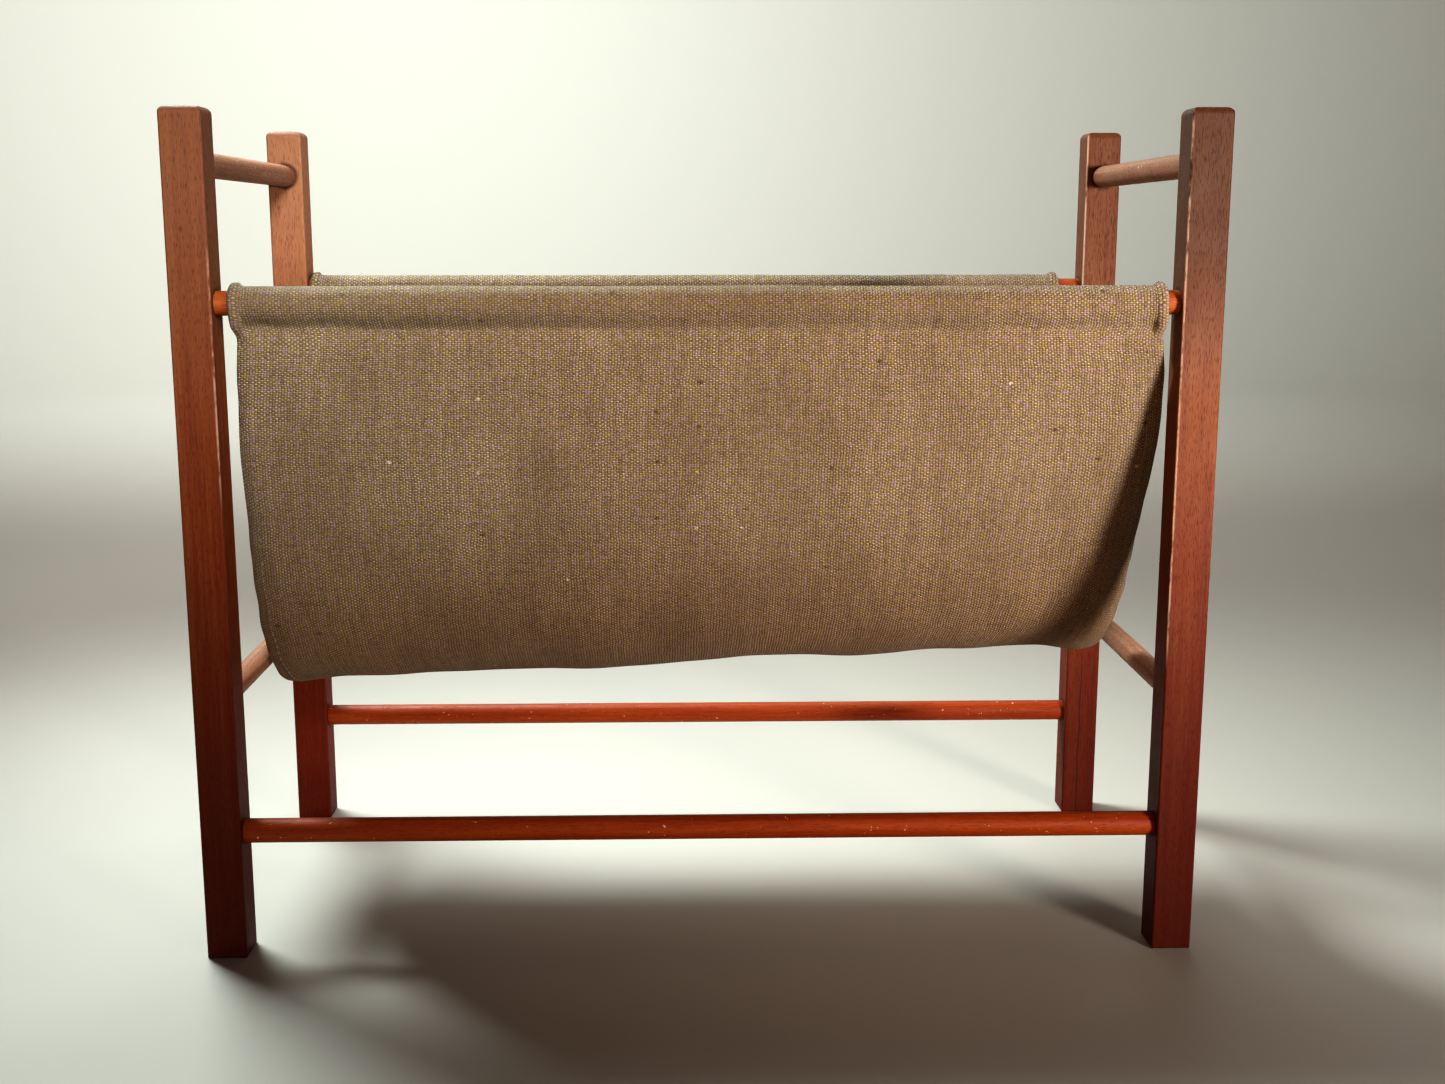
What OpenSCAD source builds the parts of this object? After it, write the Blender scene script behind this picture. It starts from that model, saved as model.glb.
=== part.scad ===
// Sling magazine rack: four square posts joined by round dowels, with a
// canvas sling hung between two rods. Origin on the floor at the middle of
// the four feet, +X along the sling, -Y the front, +Z up.

/* [Posts] */
// Overall width, outside to outside of the posts
frame_w = 489.5; // [400:0.5:620]
// Overall depth, outside to outside of the posts
frame_d = 219.5; // [180:0.5:280]
// Height of the posts
post_h = 410; // [370:1:500]
// Side of the square posts
post_side = 19.5; // [17:0.5:26]
// Radius that the top ends are rounded over to
top_round = 3.5; // [1:0.5:6]
// Radius on the long edges and round the feet
edge_round = 1; // [0.5:0.25:2]

/* [Dowels] */
// Diameter of the side rails and the stretchers
dowel_d = 12; // [9:0.5:14]
// Diameter of the two rods that carry the sling
rod_d = 11.5; // [9:0.5:14]
// Depth of the blind round mortises in the posts
mortise_depth = 14; // [9:0.5:15]
// Glue space between a dowel's end and the bottom of its mortise
end_gap = 1; // [0.5:0.25:2]
// Glue line round a dowel in its mortise
glue_gap = 0.05; // [0.02:0.01:0.15]
// Chamfer on the ends of every dowel
dowel_chamfer = 1; // [0.5:0.25:2]
// Top rails, from the top of the posts down to their axis
top_rail_drop = 25; // [20:1:35]
// Sling rods, from the top of the posts down to their axis
rod_drop = 89; // [75:1:110]
// Height of the lower side rails' axis
low_rail_z = 129; // [100:1:150]
// Height of the stretchers' axis
stretcher_z = 63; // [40:1:80]

/* [Sling] */
// Thickness of the canvas
cloth_t = 1.6; // [1:0.1:2.5]
// Space between a sleeve and its rod
sleeve_clear = 0.6; // [0.4:0.1:1.5]
// Bare rod left between each end of the front sleeve and the posts
bare_rod = 7.5; // [4:0.5:15]
// How far the back sleeve has crept along its rod, towards -X
back_creep = 6; // [0:0.5:6]
// How far each side edge of the panel lies inside the sleeve ends
panel_inset = 1.5; // [0:0.5:6]
// Sleeve seam, below the axis of the rod
seam_drop = 14; // [12:0.5:20]
// Lowest point of the sling below the rods, at the left edge
sag_left = 209; // [150:1:215]
// Lowest point of the sling below the rods, at the right edge
sag_right = 192; // [150:1:215]

/* [Stitching] */
// Diameter of the sewing thread
thread_d = 0.7; // [0.4:0.1:1]
// Distance from one stitch to the next
stitch_pitch = 5; // [4:0.5:8]
// Length of thread that shows in each stitch
stitch_len = 3.4; // [2:0.2:3.8]
// Side seams, from the side edges of the panel
hem_w = 9; // [6:0.5:14]

/* [Hidden] */
$fn = 64;

// Axes of the posts
post_x = frame_w / 2 - post_side / 2;
post_y = frame_d / 2 - post_side / 2;
// Clear distance between the posts, along X and along Y
span_x = frame_w - 2 * post_side;
span_y = frame_d - 2 * post_side;
// How far a dowel goes into a post
tenon = mortise_depth - end_gap;
top_rail_z = post_h - top_rail_drop;
rod_z = post_h - rod_drop;

sleeve_w = span_x - 2 * bare_rod;
panel_w = sleeve_w - 2 * panel_inset;
// The hanging cloth is a catenary through both rods, c * cosh(y / c) - c,
// where c is the radius at the bottom
sag = (sag_left + sag_right) / 2;
sag_tilt = atan((sag_left - sag_right) / panel_w);
half_span = post_y;
bottom_r = catenary_radius(half_span, sag, 1, 400);
// The profile is drawn past the seams and cut off level at them
profile_rise = sag + 12;
profile_steps = 44;
seam_z = rod_z - seam_drop;
// Lean of the cloth from upright where it meets the rods
hang_angle = atan(1 / sinh(half_span / bottom_r));
// Both layers of the sleeve are sewn together over this height
neck_h = 4;
colour_post = [0.42, 0.16, 0.09];
colour_dowel = [0.62, 0.27, 0.10];
colour_canvas = [0.55, 0.46, 0.29];
colour_thread = [0.66, 0.58, 0.40];

function cosh(x) = (exp(x) + exp(-x)) / 2;
function sinh(x) = (exp(x) - exp(-x)) / 2;
function acosh(x) = ln(x + sqrt(x * x - 1));

// Radius at the bottom of the catenary that drops by fall over half the
// span, found by halving the range from low to high
function catenary_radius(half, fall, low, high, turns = 50) =
    let (mid = (low + high) / 2)
    turns == 0 ? mid :
    mid * (cosh(half / mid) - 1) > fall
        ? catenary_radius(half, fall, mid, high, turns - 1)
        : catenary_radius(half, fall, low, mid, turns - 1);

// Y and Z of the cloth's middle layer, and its slope angle, at a given
// length of cloth from the lowest point
function sling_point(along) =
    let (y = bottom_r * ln(along / bottom_r + sqrt(pow(along / bottom_r, 2) + 1)))
    [y, bottom_r * (cosh(y / bottom_r) - 1), atan(along / bottom_r)];
function cloth_side(along, out) =
    let (p = sling_point(along))
    [p[0] + out * sin(p[2]), p[1] - out * cos(p[2])];
// Length of cloth from the lowest point up to a height above it
function along_at(rise) = bottom_r * sinh(acosh(1 + rise / bottom_r));

// Rectangle w by h standing on the X axis, with rounded corners
module rounded_rect(w, h, r_low, r_high) {
    translate([-w / 2, r_low]) square([w, h - r_low - r_high]);
    translate([r_low - w / 2, 0]) square([w - 2 * r_low, h / 2]);
    translate([r_high - w / 2, h / 2]) square([w - 2 * r_high, h / 2]);
    for (side = [-1, 1]) {
        translate([side * (w / 2 - r_low), r_low]) circle(r = r_low);
        translate([side * (w / 2 - r_high), h - r_high]) circle(r = r_high);
    }
}

// Round bar along X, centred on the origin, with chamfered ends
module dowel_along_x(length, d) {
    rotate([0, 90, 0]) rotate_extrude()
        polygon([[0, -length / 2],
                 [d / 2 - dowel_chamfer, -length / 2],
                 [d / 2, dowel_chamfer - length / 2],
                 [d / 2, length / 2 - dowel_chamfer],
                 [d / 2 - dowel_chamfer, length / 2],
                 [0, length / 2]]);
}

module dowel_along_y(length, d) {
    rotate([0, 0, 90]) dowel_along_x(length, d);
}

// Blind mortise that opens on the plane x = 0 and runs towards +X
module mortise(d) {
    mouth = 1;
    translate([-mouth, 0, 0]) rotate([0, 90, 0])
        cylinder(d = d + 2 * glue_gap, h = mortise_depth + mouth);
}

// Square post, rounded over at the top and eased on its other edges.
// right and back are 1 or -1, the post's side of the rack.
module post(right, back) {
    translate([right * post_x, back * post_y, 0]) difference() {
        intersection() {
            rotate([90, 0, 0]) linear_extrude(post_side, center = true)
                rounded_rect(post_side, post_h, edge_round, top_round);
            rotate([90, 0, 90]) linear_extrude(post_side, center = true)
                rounded_rect(post_side, post_h, edge_round, top_round);
            linear_extrude(post_h) translate([0, -post_side / 2])
                rounded_rect(post_side, post_side, edge_round, edge_round);
        }
        // Dowels that run along X enter the face towards the other side
        for (bar = [[rod_z, rod_d], [stretcher_z, dowel_d]])
            translate([-right * post_side / 2, 0, bar[0]])
                rotate([0, 0, right > 0 ? 0 : 180]) mortise(bar[1]);
        // Rails that run along Y enter the face towards the front or back
        for (z = [top_rail_z, low_rail_z])
            translate([0, -back * post_side / 2, z])
                rotate([0, 0, 90 * back]) mortise(dowel_d);
    }
}

module side_rail(right, z) {
    translate([right * post_x, 0, z]) dowel_along_y(span_y + 2 * tenon, dowel_d);
}

module long_bar(back, z, d) {
    translate([0, back * post_y, z]) dowel_along_x(span_x + 2 * tenon, d);
}

// Teardrop round a rod: a circle of radius r drawn down to a flat point of
// width neck_w
module teardrop(r, drop, neck_w) {
    lean = asin((r - neck_w / 2) / drop);
    circle(r = r);
    polygon([[-r * cos(lean), -r * sin(lean)], [-neck_w / 2, -drop],
             [neck_w / 2, -drop], [r * cos(lean), -r * sin(lean)]]);
}

// Cloth looped over a rod, and a neck below it where both layers are sewn
// together, along X
module sleeve(back, shift) {
    inner_r = rod_d / 2 + sleeve_clear;
    translate([shift, back * post_y, rod_z]) rotate([90, 0, 90])
        linear_extrude(sleeve_w, center = true) rotate(back * -hang_angle) {
            difference() {
                teardrop(inner_r + cloth_t, seam_drop, 2 * cloth_t);
                teardrop(inner_r, seam_drop - cloth_t, cloth_t / 4);
            }
            translate([-cloth_t, -seam_drop - neck_h]) square([2 * cloth_t, neck_h]);
        }
}

// The hanging panel, deeper at the left, cut off level inside the necks
module panel() {
    reach = along_at(profile_rise);
    steps = [for (i = [0:profile_steps]) reach * (2 * i / profile_steps - 1)];
    spare = 20;
    intersection() {
        translate([0, 0, rod_z - sag]) rotate([0, -sag_tilt, 0]) rotate([90, 0, 90])
            linear_extrude(panel_w + spare, center = true)
                polygon([for (out = [1, -1], s = steps) cloth_side(out * s, out * cloth_t / 2)]);
        translate([-panel_w / 2, -frame_d / 2, 0]) cube([panel_w, frame_d, seam_z]);
    }
}

// One stitch on each face of the cloth, along X, at the origin
module stitch() {
    for (face = [-1, 1])
        translate([0, face * cloth_t, 0]) rotate([0, 90, 0])
            cylinder(d = thread_d, h = stitch_len, center = true, $fn = 16);
}

// Row of stitches through both layers of a sleeve, just below the seam
module sleeve_thread(back, shift) {
    count = floor((panel_w - 2 * hem_w) / stitch_pitch);
    translate([0, back * post_y, rod_z]) rotate([back * -hang_angle, 0, 0])
        translate([0, 0, -seam_drop - neck_h / 2])
            for (i = [0:count])
                translate([shift + (i - count / 2) * stitch_pitch, 0, 0]) stitch();
}

// Row of stitches down a side hem, following the cloth round the bottom
module hem_thread(right) {
    reach = along_at(sag - seam_drop - neck_h - stitch_pitch);
    count = floor(2 * reach / stitch_pitch);
    translate([0, 0, rod_z - sag]) rotate([0, -sag_tilt, 0])
        translate([right * (panel_w / 2 - hem_w), 0, 0])
            for (i = [0:count]) {
                p = sling_point((i - count / 2) * stitch_pitch);
                translate([0, p[0], p[1]]) rotate([p[2] - 90, 0, 0])
                    for (face = [-1, 1])
                        translate([0, face * cloth_t / 2, 0])
                            cylinder(d = thread_d, h = stitch_len, center = true, $fn = 16);
            }
}

module front_left_post() { color(colour_post) post(-1, -1); }
module front_right_post() { color(colour_post) post(1, -1); }
module back_left_post() { color(colour_post) post(-1, 1); }
module back_right_post() { color(colour_post) post(1, 1); }
module left_top_rail() { color(colour_dowel) side_rail(-1, top_rail_z); }
module right_top_rail() { color(colour_dowel) side_rail(1, top_rail_z); }
module left_low_rail() { color(colour_dowel) side_rail(-1, low_rail_z); }
module right_low_rail() { color(colour_dowel) side_rail(1, low_rail_z); }
module front_sling_rod() { color(colour_dowel) long_bar(-1, rod_z, rod_d); }
module back_sling_rod() { color(colour_dowel) long_bar(1, rod_z, rod_d); }
module front_stretcher() { color(colour_dowel) long_bar(-1, stretcher_z, dowel_d); }
module back_stretcher() { color(colour_dowel) long_bar(1, stretcher_z, dowel_d); }

// One length of canvas: a sleeve at each end and the panel between them
module canvas_sling() {
    color(colour_canvas) {
        sleeve(-1, 0);
        sleeve(1, -back_creep);
        panel();
    }
}

module front_sleeve_thread() { color(colour_thread) sleeve_thread(-1, 0); }
module back_sleeve_thread() { color(colour_thread) sleeve_thread(1, -back_creep); }
module left_hem_thread() { color(colour_thread) hem_thread(-1); }
module right_hem_thread() { color(colour_thread) hem_thread(1); }

front_left_post();
front_right_post();
back_left_post();
back_right_post();
left_top_rail();
right_top_rail();
left_low_rail();
right_low_rail();
front_sling_rod();
back_sling_rod();
front_stretcher();
back_stretcher();
canvas_sling();
front_sleeve_thread();
back_sleeve_thread();
left_hem_thread();
right_hem_thread();
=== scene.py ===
"""Sling magazine rack: turned and planed hardwood frame, coarse canvas sling.

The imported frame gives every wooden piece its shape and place. This script
gives the wood its finish, cuts, hangs and stitches the cloth, and sets up a
plain studio. Lengths are in metres, +X to the right, +Y back, +Z up.
"""
import math

import bpy
import numpy as np
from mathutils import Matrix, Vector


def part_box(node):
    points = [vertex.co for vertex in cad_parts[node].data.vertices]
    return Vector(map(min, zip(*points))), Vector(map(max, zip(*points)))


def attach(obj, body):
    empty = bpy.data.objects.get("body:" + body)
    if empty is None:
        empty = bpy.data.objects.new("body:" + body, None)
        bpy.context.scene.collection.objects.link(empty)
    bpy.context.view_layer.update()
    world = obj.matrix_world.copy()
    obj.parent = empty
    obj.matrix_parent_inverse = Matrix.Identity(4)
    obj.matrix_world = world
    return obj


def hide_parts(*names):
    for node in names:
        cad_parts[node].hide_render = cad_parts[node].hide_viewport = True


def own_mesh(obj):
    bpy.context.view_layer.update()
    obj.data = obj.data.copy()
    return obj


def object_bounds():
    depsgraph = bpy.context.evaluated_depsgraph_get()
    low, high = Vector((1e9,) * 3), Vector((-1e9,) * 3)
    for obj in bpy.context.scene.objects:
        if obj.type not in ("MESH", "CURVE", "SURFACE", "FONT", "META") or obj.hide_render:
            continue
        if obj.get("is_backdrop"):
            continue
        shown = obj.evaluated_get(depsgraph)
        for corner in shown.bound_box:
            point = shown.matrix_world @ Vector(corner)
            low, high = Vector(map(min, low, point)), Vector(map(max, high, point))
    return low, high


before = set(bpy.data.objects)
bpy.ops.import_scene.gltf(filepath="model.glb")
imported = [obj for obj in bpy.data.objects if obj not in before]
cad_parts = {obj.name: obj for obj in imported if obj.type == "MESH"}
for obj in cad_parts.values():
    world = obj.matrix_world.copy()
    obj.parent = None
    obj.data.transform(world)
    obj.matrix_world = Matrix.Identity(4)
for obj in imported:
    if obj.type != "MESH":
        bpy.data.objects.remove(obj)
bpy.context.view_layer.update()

MM = 0.001


# ---------------------------------------------------------------- finishes

class Value:
    """A number, colour or vector inside a finish. Arithmetic on it adds Math nodes."""

    def __init__(self, finish, socket):
        self.finish = finish
        self.socket = socket

    def math(self, operation, *values):
        return self.finish.node("Math", {"operation": operation}, dict(enumerate(values)))

    def __add__(self, other):
        return self.math("ADD", self, other)

    def __radd__(self, other):
        return self.math("ADD", other, self)

    def __sub__(self, other):
        return self.math("SUBTRACT", self, other)

    def __rsub__(self, other):
        return self.math("SUBTRACT", other, self)

    def __mul__(self, other):
        return self.math("MULTIPLY", self, other)

    def __rmul__(self, other):
        return self.math("MULTIPLY", other, self)

    def __truediv__(self, other):
        return self.math("DIVIDE", self, other)

    def __pow__(self, other):
        return self.math("POWER", self, other)

    def sin(self):
        return self.math("SINE", self)

    def floor(self):
        return self.math("FLOOR", self)

    def abs(self):
        return self.math("ABSOLUTE", self)

    def min(self, other):
        return self.math("MINIMUM", self, other)

    def ease(self, low, high):
        """0 below low, 1 above high, and smooth in between. low may be above high."""
        return self.finish.node(
            "MapRange", {"interpolation_type": "SMOOTHSTEP"},
            {"Value": self, "From Min": low, "From Max": high})


class Finish:
    """One material: a Principled shader and the nodes that feed it."""

    def __init__(self, name, constants):
        self.material = bpy.data.materials.new(name)
        self.material.use_nodes = True
        self.tree = self.material.node_tree
        self.shader = self.tree.nodes["Principled BSDF"]
        for socket, value in constants.items():
            self.shader.inputs[socket].default_value = value

    @staticmethod
    def pick(sockets, key):
        """The socket with that number, or the one in use with that name."""
        if isinstance(key, int):
            return sockets[key]
        return next(s for s in sockets if s.name == key and s.enabled)

    def node(self, kind, settings, values, out=0):
        """Adds one node: its settings first, then the values or links of its sockets."""
        node = self.tree.nodes.new("ShaderNode" + kind)
        for name, setting in settings.items():
            if name == "stops":
                self.set_stops(node.color_ramp.elements, setting)
            else:
                setattr(node, name, setting)
        for key, value in values.items():
            self.feed(self.pick(node.inputs, key), value)
        return Value(self, self.pick(node.outputs, out))

    @staticmethod
    def set_stops(elements, stops):
        """Gives a ramp its stops, each a place from 0 to 1 and a colour."""
        while len(elements) < len(stops):
            elements.new(1.0)
        for element, (place, colour) in zip(elements, stops):
            element.position = place
            element.color = (*colour, 1.0)

    def feed(self, socket, value):
        """Links a worked-out value to a socket, or sets a plain one on it."""
        if isinstance(value, Value):
            self.tree.links.new(value.socket, socket)
        elif socket.type == "RGBA":
            socket.default_value = (*value, 1.0)
        else:
            socket.default_value = value

    def wear(self, name, value):
        """Feeds one socket of the shader."""
        self.feed(self.shader.inputs[name], value)

    def place(self):
        """Object coordinates, in metres."""
        return self.node("TexCoord", {}, {}, out="Object")

    def split(self, vector):
        """The three parts of a vector."""
        return [self.node("SeparateXYZ", {}, {0: vector}, out=i) for i in range(3)]

    def join(self, x, y, z=0.0):
        """A vector from its three parts."""
        return self.node("CombineXYZ", {}, {0: x, 1: y, 2: z})

    def stretch(self, vector, scale, shift=(0.0, 0.0, 0.0)):
        """vector * scale + shift, part by part."""
        return self.node("VectorMath", {"operation": "MULTIPLY_ADD"},
                         {0: vector, 1: scale, 2: shift})

    def noise(self, vector, scale=1.0, detail=2.0, rough=0.5, twist=0.0):
        """Soft random field from 0 to 1, whose patches are about 1 / scale wide."""
        return self.node("TexNoise", {}, {"Vector": vector, "Scale": scale, "Detail": detail,
                                          "Roughness": rough, "Distortion": twist})

    def speckle(self, vector):
        """A random number for each whole-number cell of vector."""
        return self.node("TexWhiteNoise", {"noise_dimensions": "3D"}, {"Vector": vector})

    def ramp(self, value, stops):
        """Colour that goes from stop to stop as value goes from 0 to 1."""
        return self.node("ValToRGB", {"stops": stops}, {0: value})

    def blend(self, amount, first, second, mode="MIX"):
        """Colour first where amount is 0, second where it is 1. In the mode MULTIPLY
        it is first times second where amount is 1."""
        return self.node("Mix", {"data_type": "RGBA", "blend_type": mode},
                         {"Factor": amount, "A": first, "B": second}, out="Result")

    def relief(self, height, depth, strength=1.0):
        """Normal for a height from 0 to 1 that stands depth metres proud."""
        self.wear("Normal", self.node("Bump", {}, {
            "Strength": strength, "Distance": depth, "Height": height}))


# Colours of the wood, each set from dark to light
POST_DARK = (0.105, 0.006, 0.001)
POST_MID = (0.218, 0.048, 0.009)
POST_LIGHT = (0.310, 0.115, 0.034)
# Pale colour of the post edges, partly rubbed wear and partly a painted highlight along the
# arrises; also the dowels' pale specks
POST_PALE = (0.750, 0.520, 0.400)
# Painted pale sheen laid on the tops of the posts
POST_SHEEN = (0.310, 0.165, 0.095)
DOWEL_DARK = (0.150, 0.018, 0.002)
DOWEL_MID = (0.270, 0.040, 0.004)
DOWEL_LIGHT = (0.370, 0.080, 0.010)
ROD_DARK = (0.220, 0.035, 0.006)
ROD_MID = (0.290, 0.070, 0.013)
ROD_LIGHT = (0.380, 0.115, 0.028)
RAIL_DARK = (0.160, 0.055, 0.025)
RAIL_MID = (0.260, 0.114, 0.062)
RAIL_LIGHT = (0.370, 0.185, 0.110)
PORE = (0.040, 0.008, 0.004)
SHEEN_BY = 0.40         # height where the painted sheen on a post's top is full
SHADED_FOOT = 0.32        # height under which a post is painted darker towards its foot, painted shade
CRACK = 110 * MM        # drying crack, up from the foot of one post


def grain(finish, place, along, seed):
    """Straight-grained open-pored hardwood along one axis.

    Returns the tone from 0 dark to 1 light, how much of a pore each point is,
    and a fine fibre relief. The tone is slow bands across the grain, drawn out
    along it, plus finer streaks; the pores are short thin dashes.
    """
    def drawn(across, length):
        scale = [across] * 3
        scale[along] = length
        shift = [seed * 1.37, seed * 2.11, seed * 0.73]
        return finish.stretch(place, scale, shift)

    bands = finish.noise(drawn(80.0, 2.2), detail=3.0, rough=0.55, twist=0.5)
    streaks = finish.noise(drawn(420.0, 14.0), detail=3.0, rough=0.6)
    hairs = finish.noise(drawn(1700.0, 60.0), detail=1.0)
    pores = finish.noise(drawn(2600.0, 260.0), detail=1.0).ease(0.53, 0.70)
    tone = bands * 0.70 + streaks * 0.50 + hairs * 0.30 - 0.25
    return tone, pores, hairs


def socket_shade_and_grime(finish, place, centre):
    """Painted contact shade, with a little dirt, where the dowels enter the two inner
    sides of a post: 1 at the rim of each hole, fading to 0 a little way off."""
    x, y, z = finish.split(place)
    off = (x - centre.x, y - centre.y)
    inner = [part * -math.copysign(1.0, mid) for part, mid in zip(off, (centre.x, centre.y))]
    total = 0.0
    for axis, bars in enumerate((("front_sling_rod", "front_stretcher"),
                                 ("left_top_rail", "left_low_rail"))):
        for bar in bars:
            low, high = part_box(bar)
            across, up = off[1 - axis], z - (low.z + high.z) / 2
            rim = (across * across + up * up) ** 0.5 - (high.z - low.z) / 2
            total = rim.ease(2.6 * MM, 0.2 * MM) * inner[axis].ease(0.0, 2 * MM) + total
    return total


def post_wood(name, centre, half, seed, tones, rubbed_and_glint, crack=0.0):
    """Oiled red-brown post, grain upright. Its long edges are paler, partly rubbed and
    partly a painted highlight, its top has a painted pale sheen and its foot is
    darkened with painted shade.

    tones holds the painted light low down and at the top, a multiplier that is
    partly the post's own tone, how strong the painted sheen at the top is and the
    height where that sheen starts. rubbed_and_glint holds the stretch of height
    with pale edges and how pale they are, and crack is how far a fine drying crack
    runs up from the foot.
    """
    finish = Finish(name, {"IOR": 1.5, "Specular IOR Level": 0.18})
    place = finish.place()
    tone, pores, hairs = grain(finish, place, 2, seed)
    colour = finish.ramp(tone, [(0.16, POST_DARK), (0.50, POST_MID), (0.86, POST_LIGHT)])
    x, y, z = finish.split(place)
    foot_painted_light, top_painted_light, top_sheen, top_sheen_from = tones
    # Painted pale sheen towards the top of the post
    colour = finish.blend(z.ease(top_sheen_from, SHEEN_BY) * top_sheen, colour, POST_SHEEN)
    # Painted shade darkening the post towards its foot
    colour = finish.blend(z.ease(SHADED_FOOT, 20 * MM) * 0.78, colour, POST_DARK)
    colour = finish.blend(pores * 0.42, colour, PORE)
    # Painted light and shade: a multiplier from foot to top, set per post, partly the post's own
    # tone
    painted_light = z.ease(0.26, 0.36) * (top_painted_light - foot_painted_light) + foot_painted_light
    colour = finish.node("VectorMath", {"operation": "SCALE"}, {0: colour, "Scale": painted_light})
    from_edge = half - (x - centre.x).abs().min((y - centre.y).abs())
    inner = (x - centre.x) * -math.copysign(1.0, centre.x)
    # Pale edges, partly rubbed wear and partly a painted highlight along the arrises
    edge_patches = finish.noise(finish.stretch(place, (160.0, 160.0, 50.0)), detail=4.0, rough=0.7)
    low, high, strength = rubbed_and_glint
    worn_and_glint = from_edge.ease(1.2 * MM, 0.2 * MM) * edge_patches.ease(0.36, 0.54)
    worn_and_glint = worn_and_glint * inner.ease(0.0, 2 * MM) * strength
    worn_and_glint = worn_and_glint * z.ease(low, low + 30 * MM) * z.ease(high, high - 15 * MM)
    colour = finish.blend(worn_and_glint, colour, POST_PALE)
    if crack:
        along = finish.noise(finish.stretch(place, (0.0, 0.0, 40.0)), detail=2.0)
        off = (x - (centre.x - 0.10 * half) - (along - 0.5) * 4 * MM).abs()
        split = off.ease(0.55 * MM, 0.15 * MM) * z.ease(crack, crack * 0.6)
        colour = finish.blend(split * 0.85, colour, PORE)
    # Painted contact shade, with a little dirt, round the dowel holes
    colour = finish.blend(socket_shade_and_grime(finish, place, centre) * 0.8, colour, PORE)
    # End grain shows only where a face looks straight up or down
    upright = finish.split(finish.node("NewGeometry", {}, {}, out="Normal"))[2].abs()
    dots = finish.noise(place, scale=1300.0, detail=1.0).ease(0.42, 0.66)
    ends = finish.blend(dots, PORE, POST_MID)
    colour = finish.blend(upright.ease(0.55, 0.9) * 0.8, colour, ends)
    finish.wear("Base Color", colour)
    smudge = finish.noise(place, scale=45.0, detail=3.0)
    finish.wear("Roughness", 0.46 + smudge * 0.24 + pores * 0.15)
    finish.relief(hairs * 0.5 - pores, 0.06 * MM, 0.6)
    return finish.material


def dowel_wood(name, along, seed, tones):
    """Oiled dowel in three tones from dark to light, grain along it."""
    finish = Finish(name, {"IOR": 1.5, "Specular IOR Level": 0.22})
    place = finish.place()
    tone, pores, hairs = grain(finish, place, along, seed)
    colour = finish.ramp(tone, list(zip((0.24, 0.50, 0.82), tones)))
    colour = finish.blend(pores * 0.5, colour, tones[0])
    specks = finish.noise(place, scale=420.0, detail=1.0).ease(0.74, 0.78)
    colour = finish.blend(specks * 0.6, colour, POST_PALE)
    finish.wear("Base Color", colour)
    smudge = finish.noise(place, scale=60.0, detail=3.0)
    finish.wear("Roughness", 0.36 + smudge * 0.25 + pores * 0.2)
    finish.relief(hairs * 0.5 - pores, 0.08 * MM, 0.5)
    return finish.material


WARP_PITCH = 1.37 * MM  # from yarn to yarn across the cloth
WEFT_PITCH = 0.88 * MM  # and along it
YARN_LIGHT = (0.560, 0.440, 0.280)
YARN_MID = (0.262, 0.190, 0.112)
YARN_DARK = (0.138, 0.086, 0.048)
# Painted shade in the hollows between the yarns
CREVICE_SHADE = (0.040, 0.022, 0.012)
OLIVE = (0.400, 0.275, 0.070)
MAUVE = (0.400, 0.250, 0.255)
NEP = (0.620, 0.520, 0.380)
KNOT = (0.090, 0.045, 0.018)
LOW_WARM_SHADE = (0.77, 0.58, 0.40)         # what the painted warm shade low down leaves of the yarn's colour
LOW_SHADE_FROM, LOW_SHADE_BY = 235 * MM, 112 * MM     # heights where it starts and is full


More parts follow.
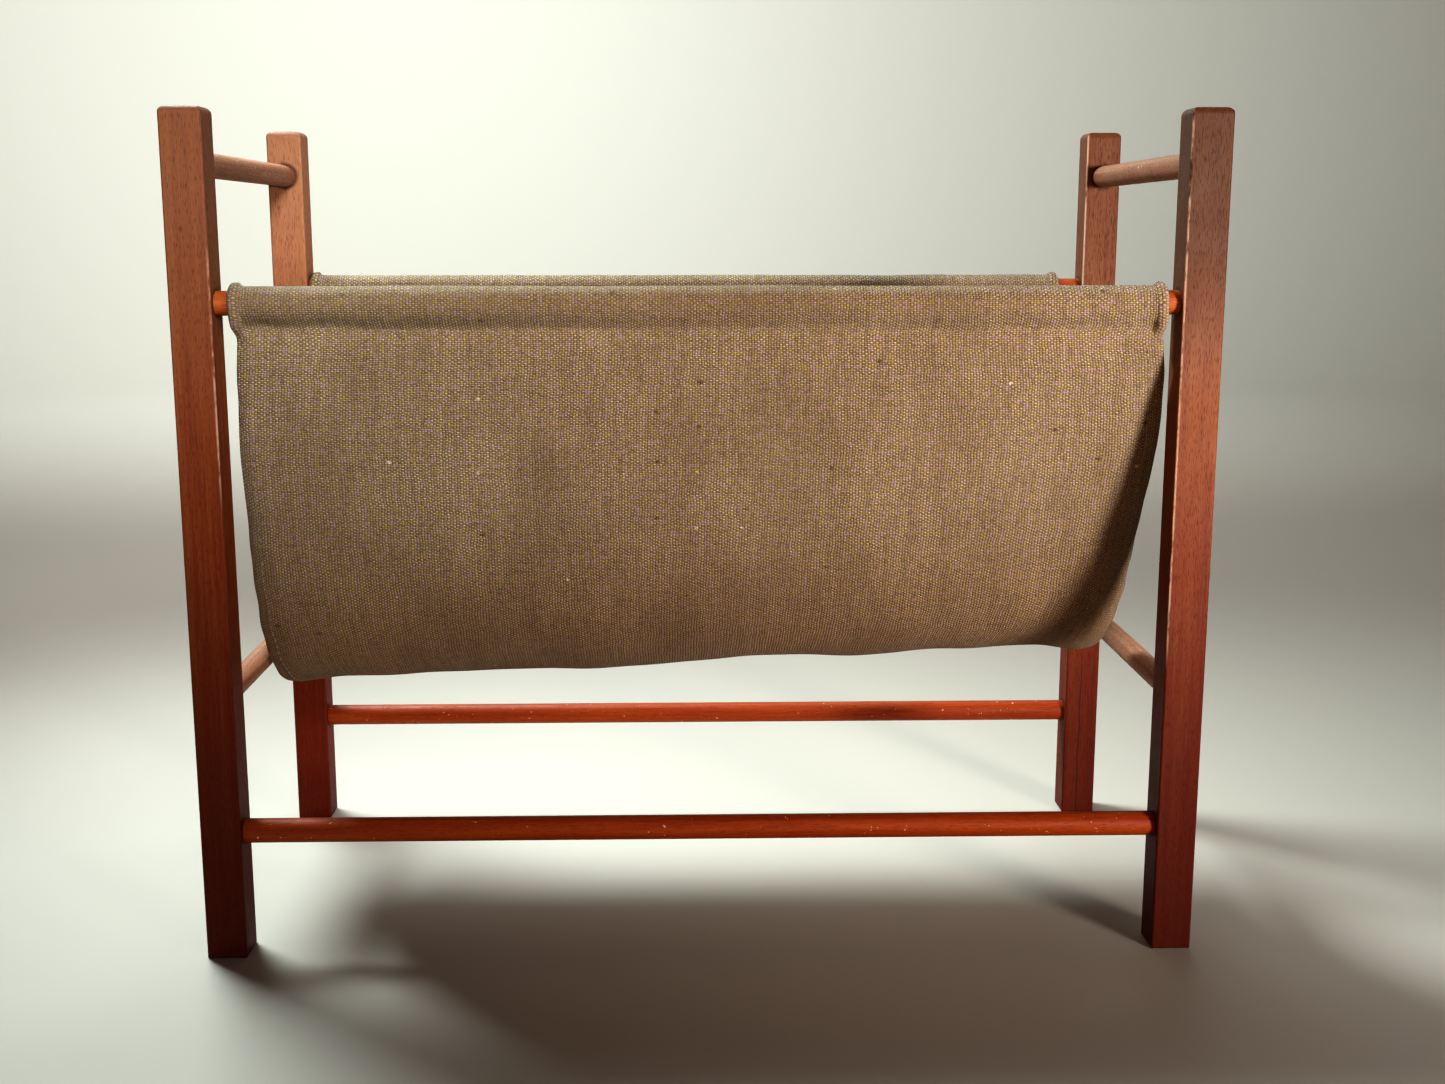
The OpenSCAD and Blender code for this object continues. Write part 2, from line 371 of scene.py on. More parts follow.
def canvas_weave():
    """Coarse plain weave of slubby beige and brown yarn, laid out on the cloth's own map.

    sin(pi x) sin(pi y) changes sign from each crossing to the next, so its
    sign says which yarn is on top, and its size is the dome of that yarn.
    """
    finish = Finish("canvas_weave", {"Roughness": 0.92, "Sheen Weight": 0.12,
                                     "Sheen Roughness": 0.5, "Specular IOR Level": 0.12})
    flat = finish.node("UVMap", {"uv_map": "cut"}, {})
    wander = finish.noise(finish.stretch(flat, (70.0, 110.0, 1.0)), detail=3.0, rough=0.6)
    u, v, _ = finish.split(flat)
    x = u / WARP_PITCH + wander * 1.6
    y = v / WEFT_PITCH + wander * 2.0
    crossing = (x * math.pi).sin() * (y * math.pi).sin()
    warp_up = crossing.ease(-0.25, 0.15)
    dome = crossing.abs() ** 0.6
    column, row = x.floor(), y.floor()
    # Each yarn has a tone of its own that drifts along it, thick and thin
    warp_tone = finish.noise(finish.join(column * 7.13, v * 26.0), detail=3.0, rough=0.6)
    weft_tone = finish.noise(finish.join(u * 40.0, row * 5.71, 3.0), detail=2.0)
    single = finish.speckle(finish.join(column, row))
    patch = finish.noise(finish.stretch(flat, (16.0, 11.0, 1.0), (4.0, 0.0, 0.0)), detail=3.0)
    lit = warp_tone.ease(0.34, 0.68) * 0.60 + single * 0.50 - 0.05
    warp = finish.blend(lit, YARN_MID, YARN_LIGHT)
    weft = finish.blend(weft_tone.ease(0.25, 0.75) * 0.5 + single * 0.4, YARN_DARK, YARN_MID)
    colour = finish.blend(warp_up * (0.60 + patch * 0.5), weft, warp)
    # Fibres of two hues are spun in: olive and mauve
    hue = finish.noise(finish.stretch(flat, (330.0, 420.0, 1.0), (0.0, 0.0, 5.0)), detail=2.0)
    colour = finish.blend(hue.ease(0.52, 0.66) * 0.52, colour, OLIVE)
    colour = finish.blend(hue.ease(0.49, 0.35) * 0.70, colour, MAUVE)
    # Painted shade in the hollows between the yarns
    gap = 1.0 - dome
    colour = finish.blend(gap * gap * 0.9, colour, CREVICE_SHADE)
    colour = finish.blend(patch.ease(0.60, 0.35) * 0.22, colour, YARN_DARK)
    grid = {"Vector": finish.stretch(flat, (1.0, 1.3, 1.0)), "Scale": 48.0}
    near = finish.node("TexVoronoi", {"voronoi_dimensions": "2D"}, grid, out="Distance")
    kind = finish.split(finish.node("TexVoronoi", {"voronoi_dimensions": "2D"}, grid, out="Color"))
    near = near + (hue - 0.5) * 0.16
    spot = near.ease(0.060, 0.025)
    colour = finish.blend(spot * kind[0].ease(0.94, 0.96) * 0.7, colour, NEP)
    dark_spot = near.ease(0.085, 0.030) * kind[0].ease(0.09, 0.07)
    colour = finish.blend(dark_spot * 0.75, colour, KNOT)
    # Painted warm shade low down, and painted shade on the front sleeve, fading out to the right
    across, depth, height = finish.split(finish.place())
    low_shade = height.ease(LOW_SHADE_FROM, LOW_SHADE_BY)
    colour = finish.blend(low_shade, colour, LOW_WARM_SHADE, mode="MULTIPLY")
    # Painted shade on the front sleeve, strongest at the left and middle
    front_sleeve_shade = height.ease(ROD_Z - 11 * MM, ROD_Z - 3 * MM) * depth.ease(0.0, -20 * MM)
    colour = finish.blend(front_sleeve_shade * across.ease(0.20, 0.02) * 0.28, colour, YARN_DARK)
    finish.wear("Base Color", colour)
    slub = (warp_tone + weft_tone) * 0.35
    finish.relief(dome * (0.50 + warp_up * 0.50) + slub + spot * 0.5, 0.60 * MM, 1.0)
    return finish.material


def sewing_thread():
    """Spun thread, a shade darker than the cloth, with a fine twist."""
    finish = Finish("sewing_thread", {"Roughness": 0.8, "Sheen Weight": 0.3})
    place = finish.place()
    twist = finish.noise(place, scale=2600.0, detail=2.0)
    finish.wear("Base Color", finish.blend(twist, YARN_DARK, YARN_MID))
    finish.relief(twist, 0.08 * MM, 0.6)
    return finish.material


# ------------------------------------------------------------------- sling

def middle(node):
    """Middle of a frame node's box."""
    low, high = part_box(node)
    return (low + high) / 2


ROD = middle("back_sling_rod")
ROD_LOW, ROD_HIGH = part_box("back_sling_rod")
ROD_R = (ROD_HIGH.z - ROD_LOW.z) / 2
ROD_Z = ROD.z
HALF_SPAN = ROD.y
CLOTH = 1.7 * MM
SLEEVE_R = ROD_R + 0.55 * MM + CLOTH / 2
SEAM = 12.5 * MM        # sleeve seam, down the cloth from the rod's axis
TAIL = 22 * MM          # raw end of the cloth, down from the rod's axis
HEM = 9 * MM            # width of the turned side hems
SLEEVE_HEM = 0.25       # share of that width left at the sleeves
FOLD_R = (CLOTH + 0.15 * MM) / 2
HALF_WIDTH = 217.2 * MM
FRONT_SHIFT = 0.2 * MM  # sideways place of the front sleeve
BACK_SHIFT = -6.0 * MM  # and of the back sleeve, which has crept to the left
BOTTOM_Z = 124.2 * MM   # lowest line of the cloth's middle layer, at its centre
BOTTOM_RISE = 0.0400    # rise of that line towards the right
LEFT_DROOP = 5.0 * MM
RIGHT_DROOP = 4.5 * MM

# Both side edges, from the front rod at -RUN through the bottom at 0 to the back
# rod at RUN: how far along the cloth, how far out the edge lies, how wide a band
# of it curls inwards, and through what angle. Millimetres and degrees.
RUN = 237
RIGHT_EDGE = [(-RUN, 217.2, 4, 4), (-212, 220.0, 9, 14), (-180, 222.8, 15, 24),
              (-150, 223.8, 24, 32), (-105, 222.5, 32, 38), (-60, 222.0, 36, 36),
              (-25, 219.0, 34, 20), (0, 217.0, 28, 5), (60, 217.0, 26, 20),
              (150, 218.0, 18, 20), (RUN, 216.2, 4, 4)]
LEFT_EDGE = [(-RUN, 217.2, 4, 4), (-212, 217.5, 6, 24), (-180, 219.5, 8, 38),
             (-150, 221.0, 10, 46), (-105, 222.5, 14, 46), (-60, 222.8, 18, 38),
             (-25, 221.5, 20, 24), (0, 219.8, 20, 12), (60, 219.0, 20, 20),
             (150, 218.0, 14, 16), (RUN, 216.2, 4, 4)]


def ease(value, low, high):
    """0 below low, 1 above high, smooth in between: t squared times (3 - 2 t)."""
    t = np.clip((value - low) / (high - low), 0.0, 1.0)
    return t * t * (3.0 - 2.0 * t)


def curve(knots, column, value):
    """Smooth line through one column of the knots: a cubic between each pair, with
    the slope at each knot taken from its two neighbours."""
    table = np.array(knots, float)
    x, y = table[:, 0], table[:, column]
    slope = np.gradient(y, x)
    i = np.clip(np.searchsorted(x, value) - 1, 0, len(x) - 2)
    step = x[i + 1] - x[i]
    t = np.clip((value - x[i]) / step, 0.0, 1.0)
    return ((1 + 2 * t) * (1 - t) ** 2 * y[i] + t * (1 - t) ** 2 * step * slope[i]
            + t * t * (3 - 2 * t) * y[i + 1] - t * t * (1 - t) * step * slope[i + 1])


def ripple(x, y, wave, seed, count=9):
    """Soft random relief between about -1 and 1: a sum of plane waves, each with
    a random direction and phase and a length near wave."""
    rng = np.random.default_rng(seed)
    total = np.zeros(np.broadcast(x, y).shape)
    for _ in range(count):
        turn, phase = rng.uniform(0.0, 2.0 * math.pi, 2)
        size = 2.0 * math.pi / (wave * rng.uniform(0.6, 1.7))
        total = total + np.sin(size * (x * math.cos(turn) + y * math.sin(turn)) + phase)
    return total / math.sqrt(count)


def bump(x, y, size):
    """Round hill of height 1: exp(-(x^2 + y^2) / size^2)."""
    return np.exp(-(x * x + y * y) / (size * size))


def catenary_radius(sag):
    """Bottom radius c of the curve c cosh(y / c) that drops by sag over half the
    span, found by halving a bracket for the whole array at once."""
    low, high = np.full_like(sag, 5 * MM), np.full_like(sag, 0.4)
    for _ in range(48):
        mid = (low + high) / 2
        too_tight = mid * (np.cosh(HALF_SPAN / mid) - 1.0) > sag
        low = np.where(too_tight, mid, low)
        high = np.where(too_tight, high, mid)
    return (low + high) / 2


def bottom_line(x):
    """Height of the cloth's lowest line: straight, rising to the right, with both
    corners drooping."""
    left = LEFT_DROOP * ease(-x, 185 * MM, 222 * MM)
    right = RIGHT_DROOP * ease(x, 185 * MM, 215 * MM)
    return BOTTOM_Z + BOTTOM_RISE * x - left - right


SAMPLE = np.linspace(-HALF_WIDTH, HALF_WIDTH, 64)
SAG = ROD_Z - bottom_line(SAMPLE)
MEAN_DROP = float(np.mean(np.sqrt(SAG ** 2 + 2 * SAG * catenary_radius(SAG))))


def hang(a, side, down, out):
    """Points of the hung cloth, as an array of shape (..., 3).

    a is the flat place across the cloth, side is -1 on the front half and 1
    on the back half, down is the length of cloth from the rod's axis and out
    the distance outwards from the catenary through both rods. Above the axis
    the catenary goes on straight, which the sleeves wrap round. The cloth is
    skewed by the creep of the back sleeve. Its side edges nip in under the
    sleeves, and past the start of their band they curl inwards on an arc.
    """
    share = 1.0 - np.clip(down / MEAN_DROP, 0.0, 1.0)   # 1 at the rods, 0 at the bottom
    run = side * share * RUN
    right = a > 0

    def edge(column):
        return np.where(right, curve(RIGHT_EDGE, column, run), curve(LEFT_EDGE, column, run))

    pull = ease(down, 9 * MM, 15 * MM) - ease(down, 19 * MM, 42 * MM)
    nip = np.where(right, 1.6 * MM, 1.2 * MM) * pull
    uneven = 0.4 * MM * ripple(down * side, a * 0.0, 30 * MM, 5) * ease(down, 15 * MM, 40 * MM)
    half = edge(1) * MM - nip + uneven
    band, turn = edge(2) * MM, np.radians(edge(3))
    radius = band / turn
    straight = half - radius * np.sin(turn)
    flat = HALF_WIDTH - band
    angle = np.maximum(np.abs(a) - flat, 0.0) / radius
    x = np.sign(a) * (np.minimum(np.abs(a) / flat, 1.0) * straight + radius * np.sin(angle))
    inward = radius * (1.0 - np.cos(angle))
    bottom = bottom_line(np.clip(a, -HALF_WIDTH, HALF_WIDTH))
    sag = ROD_Z - bottom
    c = catenary_radius(sag)
    drop = np.sqrt(sag ** 2 + 2.0 * sag * c)
    s = drop * np.clip(1.0 - down / MEAN_DROP, 0.0, 1.0)
    slope = np.arctan2(s, c)
    above = np.maximum(-down, 0.0)
    normal = out - inward
    y = c * np.arcsinh(s / c) + above * np.cos(slope) + normal * np.sin(slope)
    z = bottom + np.sqrt(c ** 2 + s ** 2) - c + above * np.sin(slope) - normal * np.cos(slope)
    drift = FRONT_SHIFT + (BACK_SHIFT - FRONT_SHIFT) * (0.5 + 0.5 * side * share)
    x, y, z = np.broadcast_arrays(x + drift, side * y, z)
    return np.stack([x, y, z], axis=-1)


# Kinds of row along the cloth: the tail inside, the loop round the rod, the outer
# side of the neck down to the seam, and the panel
ON_TAIL, ON_LOOP, ON_NECK, ON_PANEL = range(4)
TAIL_ROWS, LOOP_ROWS, NECK_ROWS, PANEL_ROWS = 14, 22, 9, 84
CLOTH_COLUMNS, FOLD_COLUMNS, LAP_COLUMNS = 141, 6, 6
PANEL_CROWD = 1.12      # power that crowds the panel's rows towards its seam
EDGE_CROWD = 1.35       # angle of the sine that crowds the columns towards the edges


def half_rows():
    """down, out and kind along one half of the cloth, from its raw end, round the
    rod and down to the bottom."""
    tail = np.linspace(TAIL, 0.0, TAIL_ROWS)[:-1]
    loop = np.linspace(math.pi, 0.0, LOOP_ROWS)[:-1]
    neck = np.linspace(0.0, SEAM, NECK_ROWS)[:-1]
    panel = SEAM + (MEAN_DROP - SEAM) * np.linspace(0.0, 1.0, PANEL_ROWS) ** PANEL_CROWD
    down = np.concatenate([tail, -np.sin(loop), neck, panel])
    out = np.concatenate([tail * 0 - 1, np.cos(loop), neck * 0 + 1, panel * 0])
    kind = np.concatenate([tail * 0 + ON_TAIL, loop * 0 + ON_LOOP,
                           neck * 0 + ON_NECK, panel * 0 + ON_PANEL])
    return down, out, kind


def section(a, side, down, out, kind):
    """Depth down the cloth and distance off the catenary of every point: a loop
    that hugs the rod, a neck that closes on a puckered seam, and a panel that
    swells a little below it. The turned hems make the sleeve ends stand proud."""
    # The sleeve's loop, thicker where the side hem is turned under it
    edge = HALF_WIDTH - np.abs(a)
    hem = ease(edge, SLEEVE_HEM * HEM + 1.5 * MM, SLEEVE_HEM * HEM)
    lip = 0.2 * MM * np.exp(-((edge - 1.5 * MM) / (1.5 * MM)) ** 2)
    uneven = 0.15 * MM * ripple(a, side * 0.1, 35 * MM, 11)
    loop_r = SLEEVE_R + (CLOTH - 0.2 * MM) * hem + lip + uneven
    # It closes on half a cosine wave to the seam, which puckers
    pucker = ripple(a, down * 0.6 + side * 0.3, 30 * MM, 21)
    seam = SEAM + 5 * MM * hem + 1.0 * MM * ripple(a, side * 0.3, 45 * MM, 23)
    closing = 0.5 + 0.5 * np.cos(math.pi * np.clip(down / seam, 0.0, 1.0) ** 1.3)
    doubled = CLOTH * (1.0 + 2.0 * hem)
    tail = -(doubled + (loop_r - doubled) * closing)
    shallow = ease(a, -210 * MM, 150 * MM)              # the seam's groove fades to the right
    groove = np.exp(-((down - seam + 1.5 * MM) / (4.5 * MM)) ** 2)
    crease = groove * (0.9 - 0.7 * shallow + 0.45 * pucker) * MM
    knob = 1.3 * MM * bump(a + 214.5 * MM, down - 10 * MM, 4.5 * MM) * (side < 0)
    hollow = 1.2 * MM * bump(a + 205.5 * MM, down - 11 * MM, 6 * MM) * (side < 0)
    proud = (0.4 + 3.4 * shallow) * MM
    outer = loop_r * closing + proud * (1 - closing) - crease + knob - hollow
    outer = outer + CLOTH * hem * (1 - closing) * ease(down, 30 * MM, 14 * MM)
    # Under the seam the panel swells as t e^-t, then hangs in slow waves
    below = np.maximum(down - seam, 0.0) / (10 * MM)
    swell = (4.2 - 1.5 * shallow) * MM * below * np.exp(-below) * (1.0 + 0.30 * pucker)
    swell = swell + proud * ((1 + 0.5 * below) * np.exp(-0.5 * below) - 1)
    waves = 1.0 * MM * ripple(a, down * 0.35 + side * 0.5, 100 * MM, 31)
    waves = waves + 0.35 * MM * ripple(a, down * side, 42 * MM, 32)
    panel = swell + waves * ease(down, SEAM, 70 * MM)
    offset = np.select([kind == ON_TAIL, kind == ON_LOOP, kind == ON_NECK],
                       [tail, out * loop_r, outer], outer + panel)
    depth = np.where(kind == ON_LOOP, down * loop_r, down)
    return depth, offset


def place_cloth(a, side, down, out, kind):
    """Middle layer of the cloth at those places, with its unit vectors across the
    cloth and towards the rack's inside. Rows run along the cloth."""
    def at(places):
        return hang(places, side, *section(places, side, down, out, kind))

    step = 0.2 * MM
    points = at(a)
    across = at(a + step) - at(a - step)
    inward = unit(np.cross(across, np.gradient(points, axis=0)))
    return points, unit(across), inward


def unit(vectors):
    """Vectors of length 1: each one divided by its length."""
    return vectors / np.linalg.norm(vectors, axis=-1, keepdims=True)


def all_rows():
    """side, down, out and kind along the whole cloth, from raw end to raw end."""
    down, out, kind = half_rows()
    side = np.full(len(down), -1.0)
    parts = [(side, -side[1:]), (down, down[-2::-1]), (out, out[-2::-1]), (kind, kind[-2::-1])]
    return [np.concatenate(pair)[:, None] for pair in parts]


def columns():
    """Columns across the cloth, where each side ends in a fold and an underlap.

    Returns, for every column, its place across the panel, how far it has run
    back under the panel, how far it stands past the edge, how far it lies
    inside the panel, and its place on the flat cut.
    """
    centre = np.linspace(-1.0, 1.0, CLOTH_COLUMNS)
    centre = HALF_WIDTH * np.sin(centre * EDGE_CROWD) / math.sin(EDGE_CROWD)
    fold = np.linspace(0.0, math.pi, FOLD_COLUMNS)[1:]
    lap = np.linspace(0.0, HEM, LAP_COLUMNS)[1:]
    push = np.concatenate([FOLD_R * np.sin(fold), lap * 0])
    lift = np.concatenate([FOLD_R * (1 - np.cos(fold)), lap * 0 + 2 * FOLD_R])
    back = np.concatenate([fold * 0, lap])
    flat = HALF_WIDTH + np.concatenate([FOLD_R * fold, FOLD_R * math.pi + lap])
    edge = np.full(len(back), HALF_WIDTH)

    def both(sides, mid):
        return np.concatenate([-sides[::-1], mid, sides])[None, :]

    none = centre * 0
    lift = np.concatenate([lift[::-1], none, lift])[None, :]
    return both(edge, centre), both(back, none), both(push, none), lift, both(flat, centre)


def add_mesh(name, points, faces, material, uv=None):
    """A smooth mesh object at the origin. uv holds one pair per point."""
    mesh = bpy.data.meshes.new(name)
    mesh.from_pydata(points.reshape(-1, 3).tolist(), [], faces.tolist())
    mesh.polygons.foreach_set("use_smooth", np.ones(len(mesh.polygons), bool))
    if uv is not None:
        corners = np.zeros(len(mesh.loops), int)
        mesh.loops.foreach_get("vertex_index", corners)
        layer = mesh.uv_layers.new(name="cut")
        layer.data.foreach_set("uv", uv.reshape(-1, 2)[corners].astype(np.float32).ravel())
    mesh.materials.append(material)
    mesh.update()
    piece = bpy.data.objects.new(name, mesh)
    bpy.context.scene.collection.objects.link(piece)
    return piece


def grid_faces(rows, cols):
    """Quads of a grid of rows by cols points."""
    index = np.arange(rows * cols).reshape(rows, cols)
    return np.stack([index[:-1, :-1], index[:-1, 1:], index[1:, 1:], index[1:, :-1]],
                    axis=-1).reshape(-1, 4)


def make_sling(material):
    """The canvas: one sheet from raw end to raw end, given its thickness. Returns
    it with its flat width and length."""
    side, down, out, kind = all_rows()
    a, back, push, lift, flat = columns()
    widening = (1 - SLEEVE_HEM) * ease(down, SEAM, 50 * MM)
    lap = np.where(kind < ON_PANEL, SLEEVE_HEM, SLEEVE_HEM + widening)
    points, across, inward = place_cloth(a - back * lap, side, down, out, kind)
    points = points + across * push[..., None] + inward * lift[..., None]
    steps = np.median(np.linalg.norm(np.diff(points, axis=0), axis=-1), axis=1)
    run = np.concatenate([[0.0], np.cumsum(steps)])[:, None]
    uv = np.stack(np.broadcast_arrays(flat, run), axis=-1)
    sling = add_mesh("canvas_cloth", points, grid_faces(*points.shape[:2]), material, uv)
    wall = sling.modifiers.new("thickness", "SOLIDIFY")
    wall.thickness = CLOTH
    wall.offset = 0.0
    return sling, (2 * flat[0, -1], run[-1, 0])


THREAD_R = 0.28 * MM
STITCH = 3.4 * MM       # length of a stitch
PITCH = 5.0 * MM        # from one stitch to the next
HEM_STITCHES = 0.72     # how far across the hem its stitches run


def stitch_row(path, outward):
    """Rings of points for a row of stitches along a path that lies on the cloth.

    Each stitch is a six-sided tube through seven rings, and its middle line
    rises from one hole and dips into the next on half a cosine wave.
    """
    run = np.concatenate([[0.0], np.cumsum(np.linalg.norm(np.diff(path, axis=0), axis=-1))])
    count = int(run[-1] / PITCH)
    t = np.linspace(-1.0, 1.0, 7)
    at = (run[-1] - count * PITCH) / 2 + (np.arange(count)[:, None] + 0.5) * PITCH + t * STITCH / 2

    def along(values):
        return np.stack([np.interp(at, run, values[:, i]) for i in range(3)], axis=-1)

    up = unit(along(outward))
    ahead = unit(along(np.gradient(path, axis=0)))
    aside = np.cross(ahead, up)
    turn = np.arange(6) * math.pi / 3
    rise = (0.40 * MM * np.cos(t * math.pi / 2) - 0.28 * MM)[:, None] + THREAD_R * np.cos(turn)
    wide = THREAD_R * np.sin(turn)[:, None]
    return (along(path)[:, :, None] + up[:, :, None] * rise[..., None]
            + aside[:, :, None] * wide)


def make_stitches(name, rows, material):
    """One piece from several rows of stitches, with closed ends."""
    rings = np.concatenate([stitch_row(*row) for row in rows])
    count, length, sides = rings.shape[:3]
    ring, spot = np.meshgrid(np.arange(length - 1), np.arange(sides), indexing="ij")
    after = (spot + 1) % sides
    wall = np.stack([ring * sides + spot, (ring + 1) * sides + spot,
                     (ring + 1) * sides + after, ring * sides + after], axis=-1).reshape(-1, 4)
    cap = np.array([[0, 1, 2, 3], [0, 3, 4, 5]])
    one = np.concatenate([wall, cap, cap[:, ::-1] + (length - 1) * sides])
    faces = (one + np.arange(count)[:, None, None] * length * sides).reshape(-1, 4)
    return add_mesh(name, rings, faces, material)


def seam_rows(side):
    """Paths across the cloth at a sleeve's seam, on its outer and inner faces."""
    a = np.linspace(-HALF_WIDTH + 3 * MM, HALF_WIDTH - 3 * MM, 240)[:, None]
    down = np.full((3, 1), SEAM) + np.array([[-0.2], [0.0], [0.2]]) * MM
    rows = []
    for kind, facing in ((ON_NECK, -1.0), (ON_TAIL, 1.0)):
        points, _, inward = place_cloth(a.T, side, down, 1.0, np.full((3, 1), kind))
        if side > 0:
            inward = -inward
        rows.append((points[1] + inward[1] * facing * CLOTH / 2, inward[1] * facing))
    return rows


def hem_rows(sign):
    """Paths along one side hem, on the outer face and on the turned-in lap."""
    side, down, out, kind = all_rows()
    keep = (kind[:, 0] == ON_PANEL) & (down[:, 0] > SEAM + 6 * MM)
    side, down, out, kind = side[keep], down[keep], out[keep], kind[keep]
    a = np.full((1, 1), sign * (HALF_WIDTH - HEM * HEM_STITCHES))
    points, _, inward = place_cloth(a, side, down, out, kind)
    points, inward = points[:, 0], inward[:, 0]
    return [(points - inward * CLOTH / 2, -inward),
            (points + inward * (2 * FOLD_R + CLOTH / 2), inward)]


# --------------------------------------------------------------- the pieces

# Tones of each post: the painted light low down and at the top, partly the post's
# own tone, how strong the painted sheen at the top is and from what height. Then
# from what height to what height its edges are pale, partly rubbed and partly a
# painted highlight, and how much.
POSTS = {"front_left_post": ((0.80, 0.72, 0.38, 0.20), (0.22, 0.35, 0.40)),
         "front_right_post": ((0.72, 0.33, 0.42, 0.10), (0.14, 0.43, 0.85)),
         "back_left_post": ((1.10, 1.05, 0.70, 0.20), (0.10, 0.30, 0.30)),
         "back_right_post": ((0.92, 0.60, 0.40, 0.20), (0.18, 0.43, 0.95))}
# The axis each bar runs along, and its three tones
BARS = {
    "front_sling_rod": (0, (ROD_DARK, ROD_MID, ROD_LIGHT)),
    "back_sling_rod": (0, (ROD_DARK, ROD_MID, ROD_LIGHT)),
    "front_stretcher": (0, (DOWEL_DARK, DOWEL_MID, DOWEL_LIGHT)),
    "back_stretcher": (0, (DOWEL_DARK, DOWEL_MID, DOWEL_LIGHT)),
    "left_top_rail": (1, (RAIL_DARK, RAIL_MID, RAIL_LIGHT)),
    "right_top_rail": (1, (RAIL_DARK, RAIL_MID, RAIL_LIGHT)),
    "left_low_rail": (1, (RAIL_DARK, RAIL_MID, RAIL_LIGHT)),
    "right_low_rail": (1, (RAIL_DARK, RAIL_MID, RAIL_LIGHT)),
}


def dress(node, material):
    """Gives a frame node its finish."""
    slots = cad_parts[node].data.materials
    slots.clear()
    slots.append(material)


def gather(piece):
    """Gives a piece of the sling a mesh of its own."""
    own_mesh(piece)


for number, (post, (tones, rubbed_and_glint)) in enumerate(POSTS.items()):
    low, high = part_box(post)
    crack = CRACK if post == "back_right_post" else 0.0
    dress(post, post_wood(post + "_wood", middle(post), (high.x - low.x) / 2,
                          3.0 + number * 5.3, tones, rubbed_and_glint, crack))
for number, (bar, (axis, tones)) in enumerate(BARS.items()):
    dress(bar, dowel_wood(bar + "_wood", axis, 31.0 + number * 4.1, tones))

canvas = canvas_weave()
thread = sewing_thread()
sling, cut = make_sling(canvas)
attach(sling, "sling")
gather(sling)
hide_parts("canvas_sling")
for node, rows in (("front_sleeve_thread", seam_rows(-1.0)),
                   ("back_sleeve_thread", seam_rows(1.0)),
                   ("left_hem_thread", hem_rows(-1.0)),
                   ("right_hem_thread", hem_rows(1.0))):
    stitches = make_stitches(node.replace("thread", "stitches"), rows, thread)
    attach(stitches, "sling")
    gather(stitches)
    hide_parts(node)

# ------------------------------------------------------------------ studio

FLOOR = (0.42, 0.36, 0.31)
AIR = (1.0, 0.72, 0.50)
AIR_STRENGTH = 0.03
# Place, target, size, power, spread in degrees and colour of each lamp
LAMPS = {
    "key_light": ((0.88, -1.10, 0.37), (0.23, -0.10, 0.28), 0.30, 1.30, 37.0, (1.0, 0.98, 0.94)),
    "left_light": ((0.05, -1.00, 0.72), (-0.24, 0.0, 0.37), 0.30, 0.52, 31.0, (0.90, 0.97, 0.98)),
    "fill_light": ((-0.50, -1.00, 0.30), (0.24, 0.0, 0.30), 0.40, 0.15, 30.0, (1.0, 0.55, 0.28)),
    "top_light": ((-0.60, 0.50, 1.25), (-0.10, 0.05, 0.30), 0.50, 5.0, 66.0, (0.78, 0.97, 1.0)),
    "floor_light": ((-0.1, 1.20, 1.95), (-0.1, 1.22, 0.0), 1.80, 13.0, 104.0, (0.86, 0.97, 1.0)),
    "wall_light": ((-0.6, 1.9, 2.6), (-0.6, 4.5, 0.95), 1.2, 120.0, 150.0, (0.80, 0.96, 1.0)),
    "room_light": ((0.4, -2.0, 2.4), (0.2, -4.4, 0.9), 1.2, 26.0, 150.0, (1.0, 0.80, 0.62)),
}
CAMERA_PLACE = (-8.9 * MM, -884.3 * MM, 353.4 * MM)
LOOK_DOWN, LOOK_RIGHT = math.radians(10.577), math.radians(1.404)
LENS, SENSOR = 41.29, 36.0      # focal length and width, in millimetres

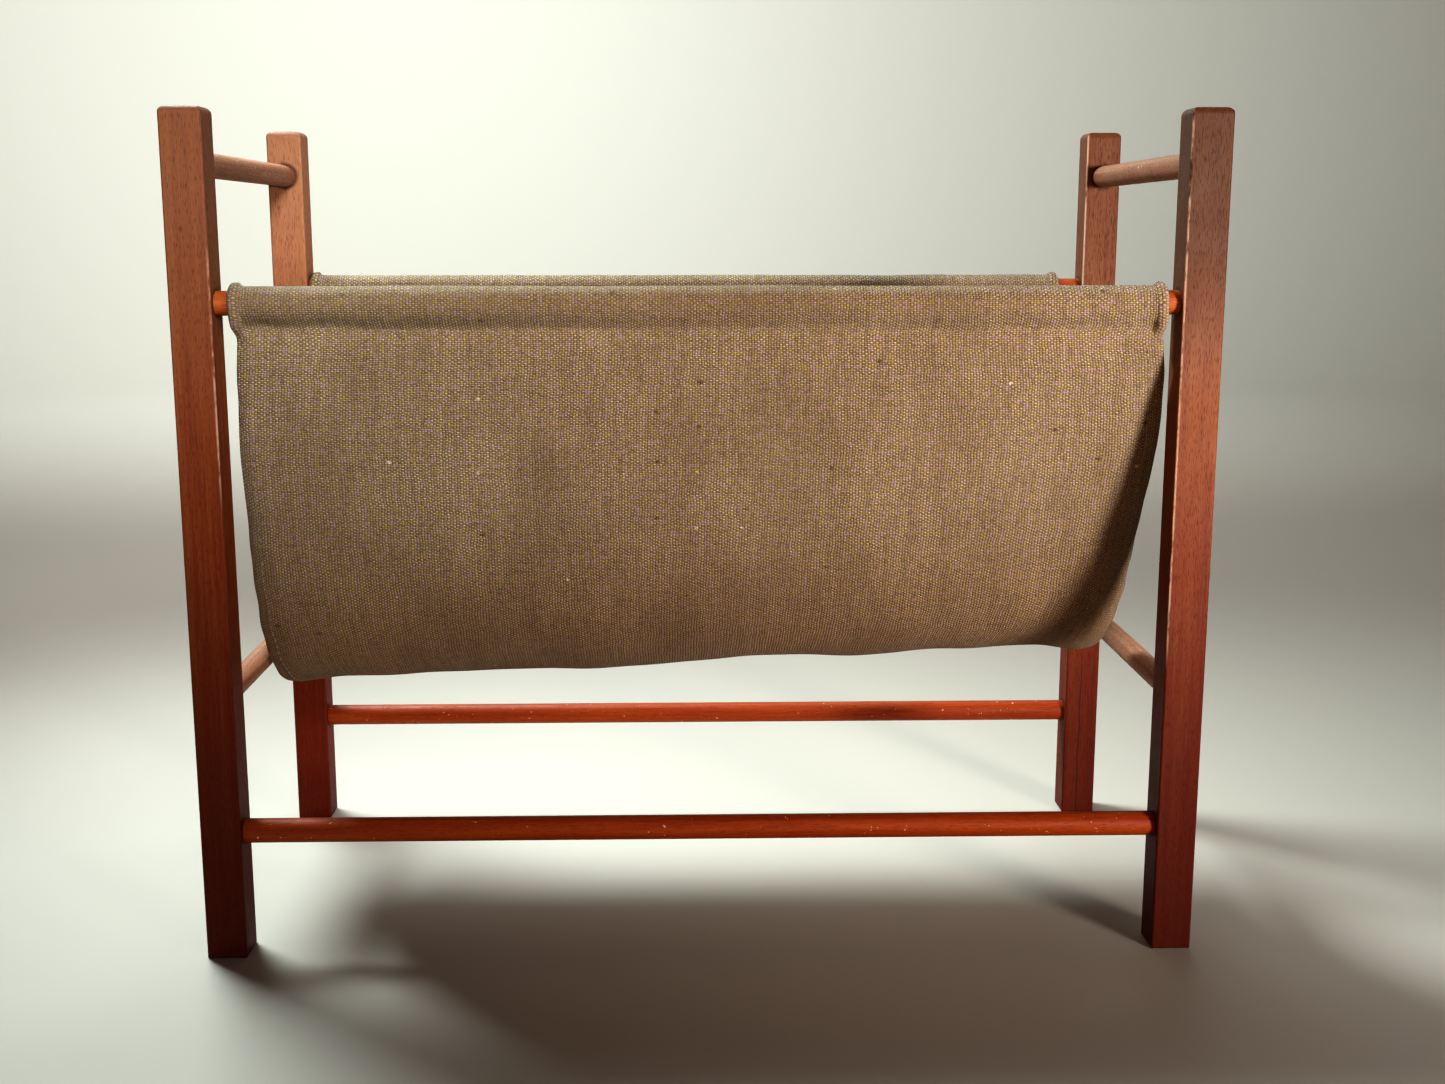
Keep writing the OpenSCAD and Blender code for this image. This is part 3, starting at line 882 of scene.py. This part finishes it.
def studio_bowl():
    """Pale floor that sweeps up into a round wall: the profile is flat, then a
    quarter circle, then upright, turned about the middle."""
    reach, bend, height = 3.2, 1.4, 4.0
    arc = np.linspace(0.0, math.pi / 2, 13)
    r = np.concatenate([[1e-4, 1.0, 2.0], reach + bend * np.sin(arc), [reach + bend]])
    z = np.concatenate([[0.0, 0.0, 0.0], bend * (1 - np.cos(arc)), [height]])
    turn = np.linspace(0.0, 2 * math.pi, 97)
    points = np.stack([r[:, None] * np.cos(turn), r[:, None] * np.sin(turn),
                       z[:, None] + 0 * turn], axis=-1)
    faces = grid_faces(len(r), 97)
    finish = Finish("pale_floor", {"Roughness": 0.85})
    finish.wear("Base Color", FLOOR)
    bowl = add_mesh("studio_bowl", points, faces, finish.material)
    bowl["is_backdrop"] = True
    return bowl


def soft_light(name, place, target, size, power, spread, colour):
    """Round lamp at place, aimed at target. Its beam narrows with spread, in degrees."""
    lamp = bpy.data.lights.new(name, "AREA")
    lamp.shape = "DISK"
    lamp.size = size
    lamp.energy = power
    lamp.spread = math.radians(spread)
    lamp.color = colour
    holder = bpy.data.objects.new(name, lamp)
    holder.location = place
    aim = np.array(target) - np.array(place)
    holder.rotation_euler = (math.acos(-aim[2] / np.linalg.norm(aim)), 0.0,
                             math.atan2(aim[1], aim[0]) - math.pi / 2)
    bpy.context.scene.collection.objects.link(holder)


def add_camera():
    """Eye level a little above the sling, close in front, looking slightly down."""
    lens = bpy.data.cameras.new("camera")
    lens.sensor_width = SENSOR
    lens.lens = LENS
    holder = bpy.data.objects.new("camera", lens)
    holder.location = CAMERA_PLACE
    holder.rotation_euler = (math.pi / 2 - LOOK_DOWN, 0.0, -LOOK_RIGHT)
    bpy.context.scene.collection.objects.link(holder)
    bpy.context.scene.camera = holder


studio_bowl()
for lamp_name, lamp_values in LAMPS.items():
    soft_light(lamp_name, *lamp_values)
world = bpy.data.worlds.new("studio_air")
world.use_nodes = True
world.node_tree.nodes["Background"].inputs["Color"].default_value = (*AIR, 1.0)
world.node_tree.nodes["Background"].inputs["Strength"].default_value = AIR_STRENGTH
bpy.context.scene.world = world
bpy.context.scene.view_settings.view_transform = "Standard"
bpy.context.scene.view_settings.look = "High Contrast"
add_camera()


low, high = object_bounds()
